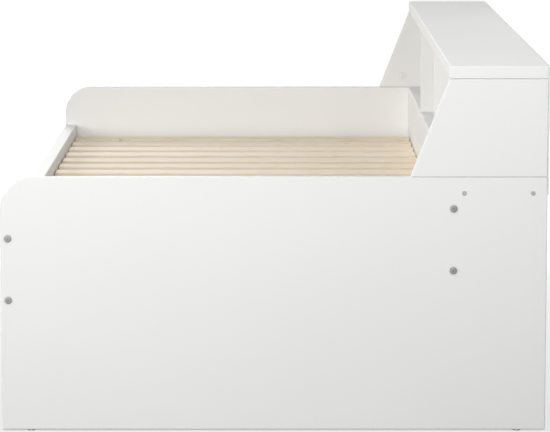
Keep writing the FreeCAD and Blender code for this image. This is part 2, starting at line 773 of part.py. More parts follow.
def make_straight_boards():
    """Every board that is a plain block: its near, left, lower corner, size and own rounding."""
    back_length = "bed_length - 2 * back_inset"
    back_bottom = f"{SHELF_UNDER} - back_skirt"
    cleat_length = f"2 * ({END_INSIDE} - cleat_end_gap)"
    cleat_y = f"-({END_INSIDE} - cleat_end_gap)"
    divider_size = ("shelf_depth", "divider_thickness", f"{TOP_UNDER} - {SHELF_TOP}")
    boards = {
        "outer_rail": (
            (LEFT, f"-{END_INSIDE}", f"{RAIL_TOP} - rail_height"),
            ("rail_thickness", SPAN, "rail_height"),
        ),
        "bookcase_rail": (
            (FRONT, f"-{END_INSIDE}", f"{SHELF_UNDER} - bookcase_rail_height"),
            ("bookcase_rail_thickness", SPAN, "bookcase_rail_height"),
        ),
        "cleat_outer": (
            (RAIL_INSIDE, cleat_y, f"{CLEAT_TOP} - cleat_height"),
            ("cleat_width", cleat_length, "cleat_height"),
        ),
        "cleat_bookcase": (
            (f"{FRONT} - cleat_width", cleat_y, f"{CLEAT_TOP} - cleat_height"),
            ("cleat_width", cleat_length, "cleat_height"),
        ),
        "bookcase_shelf": (
            (FRONT, f"-{END_INSIDE}", SHELF_UNDER),
            ("shelf_depth", SPAN, "shelf_thickness"),
        ),
        "shelf_batten_front": (
            (BOOKCASE_RAIL_BACK, f"-{END_INSIDE}", BATTEN_UNDER),
            ("batten_width", SPAN, "batten_height"),
        ),
        "shelf_batten_rear": (
            (f"{REAR_BATTEN_X} - batten_width / 2", f"-{END_INSIDE}", BATTEN_UNDER),
            ("batten_width", SPAN, "batten_height"),
        ),
        "divider_near": (
            (FRONT, f"-{DIVIDER_MIDDLE} - divider_thickness / 2", SHELF_TOP),
            divider_size,
        ),
        "divider_far": (
            (FRONT, f"{DIVIDER_MIDDLE} - divider_thickness / 2", SHELF_TOP),
            divider_size,
        ),
        "bookcase_top": (
            (TOP_FRONT, f"-{END_FACE}", TOP_UNDER),
            ("top_depth", "bed_length", "top_thickness"),
        ),
        "back_panel": (
            (REAR, f"-({END_FACE} - back_inset)", back_bottom),
            ("back_thickness", back_length, f"{TOP_TOP} - back_inset - ({back_bottom})"),
            "back_arris",
        ),
    }
    for name, measures in boards.items():
        finish_board(name, board(name, *measures))


def make_slats(screw):
    """The slats, each with rounded long edges and a screw into either cleat."""
    edge_y = "slat_width / 2"
    points = ((f"-{edge_y}", "0"), (edge_y, "0"), (edge_y, "slat_thickness"), (f"-{edge_y}", "slat_thickness"))
    length = f"{FRONT} - {RAIL_INSIDE} - 2 * slat_end_gap"
    blank, pad = padded("slat_blank", "YZ_Plane", points, length)
    half_slat = pad.Shape.BoundBox.XLength / 2
    rounded(blank, pad, "slat_edge_radius", lambda edge: edge.BoundBox.XLength > half_slat)
    screws = []
    for number in range(1, SLAT_COUNT + 1):
        name = f"slat_{number:02d}"
        y = f"{number - (SLAT_COUNT + 1) / 2} * {SLAT_PITCH}"
        for cleat, x in (
            ("cleat_outer", f"{RAIL_INSIDE} + cleat_width / 2"),
            ("cleat_bookcase", f"{FRONT} - cleat_width / 2"),
        ):
            screws.append(screw_spot([name, cleat], (x, y, SLAT_TOP), "-Z", "slat_screw_length"))
        link = doc.addObject("App::Link", f"{name}_blank")
        link.LinkedObject = blank
        finish_board(name, put(link, (f"{RAIL_INSIDE} + slat_end_gap", y, CLEAT_TOP)))
    copies("slat_screws", screw, screws)


# ---- the whole bed ----------------------------------------------------------------------


def check_model():
    """Stop if any object failed, or if any piece has no valid shape."""
    for item in doc.Objects:
        if "Invalid" in item.State or "Error" in item.State:
            raise RuntimeError(f"{item.Name} failed: {item.State}")
    for name, piece in pieces.items():
        if piece.Shape.isNull() or not piece.Shape.isValid():
            raise RuntimeError(f"{name} has no valid shape")


def main():
    write_sheet()
    dowel = make_dowel()
    cleat_screw = make_screw("cleat_screw", "cleat_screw_length")
    copies("rail_dowels", dowel, join_rails())
    join_shelf(dowel, make_panel_screw(), cleat_screw)
    join_bookcase(dowel)
    join_cleats(cleat_screw)
    join_back(make_nail())
    add_glides(make_glide())
    make_slats(make_screw("slat_screw", "slat_screw_length"))
    make_end_panels()
    make_bookcase_sides()
    make_straight_boards()
    for name, piece in pieces.items():
        piece.Label = name
    doc.recompute()
    check_model()
    os.makedirs("parts", exist_ok=True)
    for name, piece in pieces.items():
        piece.Shape.exportStep(f"parts/{name}.step")
        print(f"{name}: {len(piece.Shape.Solids)} solid(s), {piece.Shape.Volume:.1f} mm3")


main()
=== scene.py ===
"""Looks of a single bed with a bookcase along one long side, in metres.

The boards, slats and battens keep the shapes that they were packed with and get their
finish here. The small fittings are replaced by finer surfaces at the same places.
+Z is up, +Y runs along the bed and +X points to the bookcase.
"""

import math

import bpy
import numpy as np
from bpy.props import FloatProperty, FloatVectorProperty, IntProperty, PointerProperty
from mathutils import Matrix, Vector


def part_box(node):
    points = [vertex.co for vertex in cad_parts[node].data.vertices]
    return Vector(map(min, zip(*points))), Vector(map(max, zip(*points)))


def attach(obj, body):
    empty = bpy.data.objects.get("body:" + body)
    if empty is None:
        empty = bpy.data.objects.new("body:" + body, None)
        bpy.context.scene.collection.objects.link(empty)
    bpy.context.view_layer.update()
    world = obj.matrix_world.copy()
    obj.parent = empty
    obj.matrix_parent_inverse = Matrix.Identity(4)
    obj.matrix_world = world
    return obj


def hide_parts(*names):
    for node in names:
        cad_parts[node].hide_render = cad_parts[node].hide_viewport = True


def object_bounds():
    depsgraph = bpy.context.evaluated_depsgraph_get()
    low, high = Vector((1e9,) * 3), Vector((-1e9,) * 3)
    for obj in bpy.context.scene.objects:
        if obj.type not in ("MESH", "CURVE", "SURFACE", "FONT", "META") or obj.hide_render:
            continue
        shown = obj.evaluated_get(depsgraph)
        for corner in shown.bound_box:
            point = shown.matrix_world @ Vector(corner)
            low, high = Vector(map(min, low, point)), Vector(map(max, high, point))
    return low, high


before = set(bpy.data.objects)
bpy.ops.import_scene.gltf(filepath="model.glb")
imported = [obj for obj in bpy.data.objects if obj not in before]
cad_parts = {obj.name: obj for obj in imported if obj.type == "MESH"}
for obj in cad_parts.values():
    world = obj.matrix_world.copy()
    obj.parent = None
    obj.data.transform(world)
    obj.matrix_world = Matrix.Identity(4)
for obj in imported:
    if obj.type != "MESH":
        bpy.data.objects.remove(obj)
cad_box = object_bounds()

bl_info = {
    "name": "Bookcase bed",
    "version": (1, 0, 0),
    "blender": (4, 5, 0),
    "location": "3D View > Sidebar > Bookcase bed",
    "description": "Finishes and fittings of a single bed with a bookcase along its side",
    "category": "Object",
}

MM = 0.001
TURN = 2 * math.pi
GOLDEN_ANGLE = math.pi * (3 - math.sqrt(5))
SHARP_ANGLE = math.radians(32)
BODY = "root"
SENSOR_WIDTH = 36.0

WHITE_BOARDS = {
    "end_panel_near": "Y",
    "end_panel_far": "Y",
    "bookcase_side_near": "Y",
    "bookcase_side_far": "Y",
    "divider_near": "Y",
    "divider_far": "Y",
    "outer_rail": "X",
    "bookcase_rail": "X",
    "bookcase_top": "Z",
    "bookcase_shelf": "Z",
}
BATTENS = ("cleat_outer", "cleat_bookcase", "shelf_batten_front", "shelf_batten_rear")
SLATS = sorted(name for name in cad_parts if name.startswith("slat_") and name[5:].isdigit())


# ---- settings ---------------------------------------------------------------------------


def linear(hex_colour):
    """The linear colour of an sRGB hex value."""
    value = np.array([int(hex_colour[i:i + 2], 16) for i in (1, 3, 5)]) / 255
    return np.where(value <= 0.04045, value / 12.92, ((value + 0.055) / 1.055) ** 2.4).tolist()


def colour_setting(name, description, hex_colour):
    """A colour that a user can change."""
    return FloatVectorProperty(
        name=name, description=description, subtype="COLOR", size=3, min=0, max=1,
        default=linear(hex_colour),
    )


def length_setting(name, description, millimetres):
    """A length that a user can change."""
    return FloatProperty(
        name=name, description=description, default=millimetres * MM, min=0, precision=5,
        subtype="DISTANCE", unit="LENGTH",
    )


class BoardSettings(bpy.types.PropertyGroup):
    """Finish of the white boards and the back panel."""

    face: colour_setting("Face", "Melamine on the boards' faces", "#F0F0EE")
    face_worn: colour_setting("Face, second tone", "Slow change of tone over a sheet", "#ECECEA")
    band: colour_setting("Edge band", "Plastic strip on the boards' edges", "#EFEFED")
    # The joint colour also tints the painted shade in inner corners and seams, and the seam and
    # the next setting set how far that painted shade reaches and how dark it is.
    joint: colour_setting("Joint", "Line between face and edge band, and dust", "#8F8D87")
    seam: length_setting("Seam", "How far dust reaches out of a seam or corner", 5)
    corner_shade: FloatProperty(
        name="Dust", description="How much the inner corners are darkened", subtype="FACTOR",
        default=0.4, min=0, max=1,
    )
    # The real bumps are under 1 mm wide, and are drawn coarser so that they show.
    pearl: length_setting("Pearl", "Width of the bumps of the pressed texture", 1.6)
    hardboard: colour_setting("Hardboard", "White lacquer on the back panel", "#F0F0ED")
    fibre: length_setting("Fibre", "Width of the hardboard's fibre marks", 2.5)


class PineSettings(bpy.types.PropertyGroup):
    """Finish of the slats and battens."""

    early: colour_setting("Early wood", "Pale part of a growth ring", "#F9EBD7")
    late: colour_setting("Late wood", "Dark part of a growth ring", "#EBD5B4")
    knot: colour_setting("Knot", "Heart of a knot", "#C7A377")
    batten_early: colour_setting("Batten early wood", "Pale part of a batten's ring", "#E8D2AC")
    batten_late: colour_setting("Batten late wood", "Dark part of a batten's ring", "#CDA774")
    ring: length_setting("Ring", "Width of a growth ring", 3.2)
    knot_size: length_setting("Knot size", "Radius of a knot", 7)
    knot_spacing: length_setting("Knot spacing", "Typical distance between knots", 190)
    dowel: colour_setting("Dowel", "Beech of the dowels", "#CFA878")
    dowel_fleck: colour_setting("Dowel fleck", "Flecks in the beech", "#B58A58")


class FittingSettings(bpy.types.PropertyGroup):
    """Shape and finish of the small fittings."""

    zinc: colour_setting("Zinc plate", "Dull zinc on bolts and nuts", "#7F8081")
    bright_zinc: colour_setting("Bright zinc", "Brighter zinc on the panel screws", "#9C9D9D")
    cast: colour_setting("Cast zinc", "Matt skin of the cam discs", "#A9A9A8")
    brass_zinc: colour_setting("Yellow zinc", "Passivated zinc on the wood screws", "#C9BE9E")
    wire: colour_setting("Wire", "Bright steel of the nails", "#B9B9B8")
    cap: colour_setting("Cap", "White plastic of the cam caps", "#EDEDEA")
    glide: colour_setting("Glide", "White plastic of the floor glides", "#E7E7E4")
    socket: length_setting("Hex socket", "Across the flats of the hex sockets", 4)
    socket_depth: length_setting("Socket depth", "Depth of the hex sockets", 2)
    cross_reach: length_setting("Cross", "Tip to tip of the wood screws' recess", 4.4)
    cross_width: length_setting("Cross width", "Width of the wood screws' recess", 1.2)
    cross_depth: length_setting("Cross depth", "Depth of the wood screws' recess", 1.5)
    cap_slot: length_setting("Cap slot", "Length of the slot in a cam cap", 10)
    cap_slot_width: length_setting("Cap slot width", "Width of the slot in a cam cap", 1.6)
    cap_slot_depth: length_setting("Cap slot depth", "Depth of the slot in a cam cap", 0.6)
    # The reach of the painted shade in the caps' slots and round the rims of caps and glides.
    corner_shade_reach: length_setting("Dust reach", "How far dust reaches out of a slot", 3)
    flutes: IntProperty(
        name="Flutes", description="Flutes round a dowel", default=16, min=4, max=40,
    )


class StageSettings(bpy.types.PropertyGroup):
    """Camera, floor and light."""

    camera: FloatVectorProperty(
        name="Camera", description="Where the camera stands", subtype="TRANSLATION",
        unit="LENGTH", size=3, default=(0.00766, -7.44553, 1.32117),
    )
    tilt: FloatProperty(
        name="Tilt", description="Camera's angle from straight down", subtype="ANGLE",
        default=math.radians(82.324),
    )
    lens: FloatProperty(
        name="Lens", description="Focal length", default=203.64, min=1, unit="CAMERA",
    )
    shift: FloatProperty(
        name="Shift", description="Sideways shift of the frame, as a share of its width",
        default=-0.00555, precision=5,
    )
    floor: colour_setting("Floor", "Floor that throws light back on the bed", "#464646")
    floor_span: FloatProperty(
        name="Floor span", description="Side of the floor", default=80, min=1, unit="LENGTH",
    )
    # Floor shade and shade reach set the painted shadow in the floor's glow round the bed.
    floor_shade: FloatProperty(
        name="Floor shade", description="How dark the floor shows under the bed", subtype="FACTOR",
        default=0.4, min=0, max=1,
    )
    shade_reach: FloatProperty(
        name="Shade reach", description="How far from the bed its shadow shows", unit="LENGTH",
        default=3, min=0.1,
    )
    lamps: FloatProperty(
        name="Lamps", description="Strength of all lamps together", subtype="FACTOR",
        default=1, min=0,
    )
    sky: FloatProperty(
        name="Sky", description="Strength of the even light from all sides",
        default=0.15, min=0,
    )


SETTINGS = {
    "bed_boards": BoardSettings,
    "bed_pine": PineSettings,
    "bed_fittings": FittingSettings,
    "bed_stage": StageSettings,
}


# ---- surfaces ---------------------------------------------------------------------------


def polar(radius, height, angle):
    """Points at the given radius, height and angle about the Z axis, as one array."""
    radius, height, angle = np.broadcast_arrays(radius, height, angle)
    return np.stack((radius * np.cos(angle), radius * np.sin(angle), height), axis=-1)


def column(values):
    """The values as a column, so that they run along the stations of a profile."""
    return np.asarray(values, float)[:, None]


def closed_shell(rings):
    """Vertices and faces of a closed surface through rings of points.

    rings[i, j] is the point at station i of the profile and at side j round the axis. Each
    ring is joined to the next by quads, and fans to their middles close the first and last.
    """
    stations, sides = rings.shape[:2]
    here = np.arange(stations * sides).reshape(stations, sides)
    ahead = np.roll(here, -1, axis=1)
    quads = np.stack((here[:-1], here[1:], ahead[1:], ahead[:-1]), axis=-1).reshape(-1, 4)
    first = np.full(sides, here.size)
    last = first + 1
    opening = np.stack((first, here[0], ahead[0]), axis=-1)
    ending = np.stack((here[-1], last, ahead[-1]), axis=-1)
    points = np.vstack((rings.reshape(-1, 3), rings[0].mean(axis=0), rings[-1].mean(axis=0)))
    return points, [quads, opening, ending]


def angles_with(corners, sides):
    """Even angles round the axis, and the angles of an outline's corners, in order. An even
    angle gives way to a corner that is nearer than a third of a step."""
    even = np.arange(sides) * TURN / sides
    corners = np.asarray(corners, float) % TURN
    apart = np.abs((even[:, None] - corners + math.pi) % TURN - math.pi)
    clear = apart.min(axis=1, initial=TURN) > 0.3 * TURN / sides
    return np.sort(np.concatenate((even[clear], corners)))


def hexagon(angle, across):
    """Radius of a hexagon: half its width across the flats, over the cosine of the angle
    from the nearest flat's middle."""
    sixth = TURN / 6
    return across / 2 / np.cos((angle + sixth / 2) % sixth - sixth / 2)


def cross_outline(angle, reach, width):
    """Radius of a cross: near an arm's middle line it ends at the arm's tip, and elsewhere
    at the arm's side, which is half the width away from that line."""
    quarter = TURN / 4
    off_arm = (angle + quarter / 2) % quarter - quarter / 2
    tip = reach / 2 / np.cos(off_arm)
    side = width / 2 / np.maximum(np.abs(np.sin(off_arm)), 1e-6)
    return np.minimum(tip, side)


def slot_outline(angle, length, width):
    """Radius of a rectangle along Y: the nearer of its side and its end at that angle."""
    side = width / 2 / np.maximum(np.abs(np.cos(angle)), 1e-6)
    end = length / 2 / np.maximum(np.abs(np.sin(angle)), 1e-6)
    return np.minimum(side, end)


def recess_rings(outline, angle, depth, face):
    """Rings of a recess, from its floor's middle up to the face.

    The outline is scaled: half size in the floor, nearly whole at the floor's edge, and
    whole at the mouth, which has a small bevel.
    """
    scale = column((0.5, 0.9, 0.97, 1.0, 1.05))
    height = column((face - depth, face - depth, face - 0.2 * depth, face - 0.06 * depth, face))
    return polar(scale * outline, height, angle)


def rounded_rim(radius, height, round_radius, round_height, steps=5):
    """Radii and heights of a quarter ellipse from a flat face over to its side."""
    turn = np.linspace(0, TURN / 4, steps)
    return radius - round_radius * (1 - np.sin(turn)), height - round_height * (1 - np.cos(turn))


def thread(start, end, pitch, crest, root, angle, per_turn=6):
    """Rings of a thread, from the height start down to end.

    The radius rises from root to crest as a triangle wave of height over pitch less angle
    over a full turn. The wave is cut off at both ends, which gives a flat crest and root, and
    fades in and out over the first and last pitch.
    """
    height = np.linspace(start, end, int(abs(start - end) / pitch * per_turn) + 1)[:, None]
    phase = (height / pitch - angle / TURN) % 1
    ridge = np.clip(1.25 * (1 - np.abs(2 * phase - 1)) - 0.125, 0, 1)
    fade = np.clip(np.minimum(start - height, height - end) / pitch, 0, 1)
    return polar(root + (crest - root) * ridge * fade, height, angle)


def plain_rings(profile, angle):
    """Rings of a turned profile, given as pairs of radius and height."""
    radius, height = np.array(profile, float).T
    return polar(radius[:, None], height[:, None], angle)


def solids_of(node):
    """The points of each separate solid of a node.

    Vertices at one place are merged. Each then takes the least number among its triangles'
    vertices, again and again, until every solid has one number of its own.
    """
    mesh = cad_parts[node].data
    place = np.empty(3 * len(mesh.vertices), np.float32)
    mesh.vertices.foreach_get("co", place)
    place = place.reshape(-1, 3)
    corner = np.empty(len(mesh.loops), np.int32)
    mesh.loops.foreach_get("vertex_index", corner)
    merged, same = np.unique(np.round(place / (0.01 * MM)), axis=0, return_inverse=True)
    triangle = same.ravel()[corner].reshape(-1, 3)
    number = np.arange(len(merged))
    settled = False
    while not settled:
        before = number.copy()
        np.minimum.at(number, triangle, number[triangle].min(axis=1, keepdims=True))
        number = number[number]
        settled = np.array_equal(before, number)
    merged = merged * 0.01 * MM
    return [merged[number == solid] for solid in np.unique(number)]


def seats_of(node):
    """Where each fitting of a node sits: its face's middle, three axes, its length and width.

    The fitting's own Z points out of its face, which is at the wide end. Its own Y is upright,
    or along the bed where its Z is upright.
    """
    seats = []
    for points in solids_of(node):
        low, high = points.min(axis=0), points.max(axis=0)
        span, middle = high - low, (low + high) / 2
        along = int(np.argmax(np.abs(span - np.median(span))))
        off_axis = np.linalg.norm(np.delete(points - middle, along, axis=1), axis=1)
        rim = points[off_axis > 0.97 * off_axis.max(), along]
        way = 1.0 if rim.mean() > middle[along] else -1.0
        out = np.zeros(3)
        out[along] = way
        up = np.array((0.0, 1.0, 0.0) if along == 2 else (0.0, 0.0, 1.0))
        face = middle.copy()
        face[along] += way * span[along] / 2
        axes = np.stack((np.cross(up, out), up, out))
        seats.append((face, axes, span[along], 2 * off_axis.max()))
    return seats


def placed(name, shape, seats, turned=True):
    """One piece of equal fittings, one at each seat, each turned on by the golden angle where
    the fittings were driven in, so that their recesses stand at different angles."""
    points, faces = shape
    all_points = []
    all_faces = []
    for count, (face, axes, *_) in enumerate(seats):
        angle = count * GOLDEN_ANGLE if turned else 0.0
        spin = np.array((
            (math.cos(angle), math.sin(angle), 0),
            (-math.sin(angle), math.cos(angle), 0),
            (0, 0, 1),
        ))
        all_points.append(points @ spin @ axes + face)
        all_faces += [(group + count * len(points)).tolist() for group in faces]
    mesh = bpy.data.meshes.new(name)
    mesh.from_pydata(np.vstack(all_points), [], [face for group in all_faces for face in group])
    mesh.update()
    piece = bpy.data.objects.new(name, mesh)
    bpy.context.scene.collection.objects.link(piece)
    return piece


def stand_in(piece, node, made):
    """Finish a piece and put it in the place of a packed node. It is shaded smoothly, but for
    the edges where its faces turn by more than the sharp angle."""
    piece.data.shade_smooth()
    piece.data.set_sharp_from_angle(angle=SHARP_ANGLE)
    piece.data.materials.append(made)
    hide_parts(node)
    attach(piece, BODY)


# ---- finishes ---------------------------------------------------------------------------

# How often a pattern repeats in a metre, along the grain first where there are three numbers.
SHEET_CLOUDS = 3.0
LACQUER_CLOUDS = 5.0
PINE_DRIFT = (2.2, 14.0, 14.0)
PINE_FIBRES = (12.0, 700.0, 700.0)
BEECH_FLECKS = 900.0
MOULD_GRAIN = 2500.0

# How open a point is, from 0 to 1, in a narrow seam, in a corner and on a free face, and the
# share of a corner's painted shade that a seam shows.
IN_SEAM, IN_CORNER, IN_THE_OPEN = 0.4, 0.55, 0.92
SEAM_SHADE = 0.05

# Cosine of the angle between a board's face and its skin, where the face ends, the joint line
# starts, the edge band is whole, the line is darkest at last and the line has faded out. The
# long fade paints shade over most of the rounded arris, more towards the face.
FACE_ENDS, JOINT_STARTS, BAND_WHOLE, JOINT_DARK, ARRIS_SHADE_FADED = 0.999, 0.998, 0.985, 0.93, 0.3
JOINT_AND_ARRIS_SHADE = 0.2

# The share of cells without a knot, and how strongly knots and fibres are coloured.
KNOTLESS = 0.82
KNOT_STRENGTH = 0.5
STREAK_STRENGTH = 0.22


def add(tree, kind, inputs=None, stops=(), **settings):
    """Add a node with its settings, colour stops, and values or links for its inputs."""
    node = tree.nodes.new(kind)
    for name, value in settings.items():
        setattr(node, name, value)
    for number, (position, colour) in enumerate(stops):
        if number < 2:
            stop = node.color_ramp.elements[number]
            stop.position = position
        else:
            stop = node.color_ramp.elements.new(position)
        stop.color = colour
    for name, value in (inputs or {}).items():
        if isinstance(value, bpy.types.NodeSocket):
            tree.links.new(value, node.inputs[name])
        else:
            node.inputs[name].default_value = value
    return node


def finish(name, **values):
    """A new finish: its node tree and its shader, with the given values on its sockets."""
    made = bpy.data.materials.new(name)
    made.use_nodes = True
    shader = made.node_tree.nodes["Principled BSDF"]
    for socket, value in values.items():
        shader.inputs[socket.replace("_", " ")].default_value = value
    return made, made.node_tree, shader


def shifted(tree, start=(0, 0, 0), turn=(0, 0, 0)):
    """The object's coordinates, moved and turned, for a pattern to start anywhere."""
    place = add(tree, "ShaderNodeTexCoord")
    return add(tree, "ShaderNodeMapping", {
        "Vector": place.outputs["Object"],
        "Location": start,
        "Rotation": turn,
    }).outputs[0]


def four(colour):
    """A colour setting with full opacity."""
    return (*colour, 1.0)


def dress(node, made):
    """Put a finish in every material slot of a packed node."""
    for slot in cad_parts[node].material_slots:
        slot.material = made


def painted_corner_shade(tree, colour, shading, reach, share):
    """The colour, with painted shade over it in inner corners and, much less, in narrow seams."""
    # Painted shade: the more the surroundings close a point in, the darker it is painted.
    open_to = add(tree, "ShaderNodeAmbientOcclusion", {"Distance": reach}, samples=6)
    amount = add(tree, "ShaderNodeValToRGB", {"Fac": open_to.outputs["AO"]}, stops=(
        (IN_SEAM, (SEAM_SHADE, SEAM_SHADE, SEAM_SHADE, 1)),
        (IN_THE_OPEN, (0, 0, 0, 1)),
        (IN_CORNER, (1, 1, 1, 1)),
    ))
    corner_shade = add(tree, "ShaderNodeMath", {
        0: amount.outputs["Color"],
        1: share,
    }, operation="MULTIPLY")
    return add(tree, "ShaderNodeMix", {
        "Factor": corner_shade.outputs[0],
        "A": colour,
        "B": four(shading),
    }, data_type="RGBA").outputs["Result"]


def melamine(name, settings, across, start):
    """Melamine-faced particle board, pressed between plates with a fine pearl texture, with
    edges banded in plastic strip: a dense satin white that hardly changes over the sheet,
    a shade brighter on the edges, with a faint joint line along the arris whose long fade
    paints shade over the rounding, and painted shade in inner corners and seams."""
    made, tree, shader = finish(name, IOR=1.52)
    sheet = shifted(tree, start)
    clouds = add(tree, "ShaderNodeTexNoise", {
        "Vector": sheet,
        "Scale": SHEET_CLOUDS,
        "Detail": 3.0,
    })
    face = add(tree, "ShaderNodeMix", {
        "Factor": clouds.outputs["Fac"],
        "A": four(settings.face),
        "B": four(settings.face_worn),
    }, data_type="RGBA")
    facing = add(tree, "ShaderNodeSeparateXYZ", {
        "Vector": add(tree, "ShaderNodeTexCoord").outputs["Normal"],
    })
    flatness = add(tree, "ShaderNodeMath", {0: facing.outputs[across]}, operation="ABSOLUTE")
    on_band = add(tree, "ShaderNodeMapRange", {
        "Value": flatness.outputs[0],
        "From Min": FACE_ENDS,
        "From Max": BAND_WHOLE,
    })
    banded = add(tree, "ShaderNodeMix", {
        "Factor": on_band.outputs[0],
        "A": face.outputs["Result"],
        "B": four(settings.band),
    }, data_type="RGBA")
    # The joint line, and by its long fade painted shade over the rounded arris, which dims its
    # highlight.
    joint = add(tree, "ShaderNodeValToRGB", {"Fac": flatness.outputs[0]}, stops=(
        (ARRIS_SHADE_FADED, (0, 0, 0, 1)),
        (JOINT_STARTS, (0, 0, 0, 1)),
        (JOINT_DARK, (1, 1, 1, 1)),
        (BAND_WHOLE, (1, 1, 1, 1)),
    ))
    faint = add(tree, "ShaderNodeMath", {
        0: joint.outputs["Color"],
        1: JOINT_AND_ARRIS_SHADE,
    }, operation="MULTIPLY")
    jointed_and_arris_shaded = add(tree, "ShaderNodeMix", {
        "Factor": faint.outputs[0],
        "A": banded.outputs["Result"],
        "B": four(settings.joint),
    }, data_type="RGBA")
    skin = jointed_and_arris_shaded.outputs["Result"]
    # Painted shade in the inner corners and seams between the boards.
    corner_shaded = painted_corner_shade(tree, skin, settings.joint, settings.seam, settings.corner_shade)
    tree.links.new(corner_shaded, shader.inputs["Base Color"])
    gloss = add(tree, "ShaderNodeMapRange", {
        "Value": clouds.outputs["Fac"],
        "To Min": 0.48,
        "To Max": 0.58,
    })
    banded_gloss = add(tree, "ShaderNodeMix", {
        "Factor": on_band.outputs[0],
        "A": gloss.outputs[0],
        "B": 0.5,
    }, data_type="FLOAT")
    tree.links.new(banded_gloss.outputs["Result"], shader.inputs["Roughness"])
    pearl = add(tree, "ShaderNodeTexNoise", {
        "Vector": sheet,
        "Scale": 1 / settings.pearl,
        "Detail": 2.0,
        "Roughness": 0.4,
    })
    bump = add(tree, "ShaderNodeBump", {
        "Height": pearl.outputs["Fac"],
        "Strength": 0.35,
        "Distance": 0.03 * MM,
    })
    tree.links.new(bump.outputs[0], shader.inputs["Normal"])
    return made


def hardboard(settings):
    """Thin hardboard, pressed from wet fibres and lacquered white: duller than the boards,
    with faint fibre marks and clouds under the lacquer."""
    made, tree, shader = finish("lacquered_hardboard", IOR=1.48)
    sheet = shifted(tree)
    fibre = add(tree, "ShaderNodeTexNoise", {
        "Vector": sheet,
        "Scale": 1 / settings.fibre,
        "Detail": 4.0,
        "Distortion": 0.8,
    })
    clouds = add(tree, "ShaderNodeTexNoise", {
        "Vector": sheet,
        "Scale": LACQUER_CLOUDS,
        "Detail": 2.0,
    })
    marks = add(tree, "ShaderNodeMath", {
        0: fibre.outputs["Fac"],
        1: clouds.outputs["Fac"],
    }, operation="MULTIPLY")
    tone = add(tree, "ShaderNodeValToRGB", {"Fac": marks.outputs[0]}, stops=(
        (0.1, (*(0.93 * value for value in settings.hardboard), 1)),
        (0.35, four(settings.hardboard)),
    ))
    tree.links.new(tone.outputs["Color"], shader.inputs["Base Color"])
    gloss = add(tree, "ShaderNodeMapRange", {
        "Value": fibre.outputs["Fac"],
        "To Min": 0.45,
        "To Max": 0.6,
    })
    tree.links.new(gloss.outputs[0], shader.inputs["Roughness"])
    bump = add(tree, "ShaderNodeBump", {
        "Height": fibre.outputs["Fac"],
        "Strength": 0.4,
        "Distance": 0.05 * MM,
    })
    tree.links.new(bump.outputs[0], shader.inputs["Normal"])
    return made


def knots_in(tree, settings, wood):
    """How far knots push the rings aside, and how much of a knot's heart shows. Knots stand in
    the middle of a few cells of an uneven grid."""
    cells = add(tree, "ShaderNodeTexVoronoi", {
        "Vector": wood,
        "Scale": 1 / settings.knot_spacing,
        "Randomness": 1.0,
    }, voronoi_dimensions="2D")
    radius = settings.knot_size / settings.knot_spacing
    drawn = add(tree, "ShaderNodeSeparateColor", {"Color": cells.outputs["Color"]})
    there = add(tree, "ShaderNodeMath", {
        0: drawn.outputs[0],
        1: KNOTLESS,
    }, operation="GREATER_THAN")
    swell = add(tree, "ShaderNodeMapRange", {
        "Value": cells.outputs["Distance"],
        "From Min": 4 * radius,
        "From Max": 0.5 * radius,
        "To Max": 6 * MM,
    }, interpolation_type="SMOOTHSTEP")
    heart = add(tree, "ShaderNodeMapRange", {
        "Value": cells.outputs["Distance"],
        "From Min": 1.3 * radius,
        "From Max": 0.7 * radius,
        "To Max": KNOT_STRENGTH,
    }, interpolation_type="SMOOTHSTEP")
    return [add(tree, "ShaderNodeMath", {
        0: part.outputs[0],
        1: there.outputs[0],
    }, operation="MULTIPLY").outputs[0] for part in (swell, heart)]


def rings_in(tree, settings, wood, push):
    """The season in each growth ring, from 0 to 1: the distance from the pith, with a slow
    drift and the push of the knots, over the width of a ring."""
    stretched = add(tree, "ShaderNodeMapping", {"Vector": wood, "Scale": PINE_DRIFT})
    drift = add(tree, "ShaderNodeTexNoise", {
        "Vector": stretched.outputs[0],
        "Scale": 1.0,
        "Detail": 2.0,
    })
    across = add(tree, "ShaderNodeVectorMath", {0: wood, 1: (0, 1, 1)}, operation="MULTIPLY")
    radius = add(tree, "ShaderNodeVectorMath", {0: across.outputs[0]}, operation="LENGTH")
    drifted = add(tree, "ShaderNodeMath", {
        0: drift.outputs["Fac"],
        1: 12 * MM,
        2: radius.outputs["Value"],
    }, operation="MULTIPLY_ADD")
    age = add(tree, "ShaderNodeMath", {0: drifted.outputs[0], 1: push}, operation="ADD")
    rings = add(tree, "ShaderNodeMath", {0: age.outputs[0], 1: settings.ring}, operation="DIVIDE")
    return add(tree, "ShaderNodeMath", {0: rings.outputs[0]}, operation="FRACT").outputs[0]


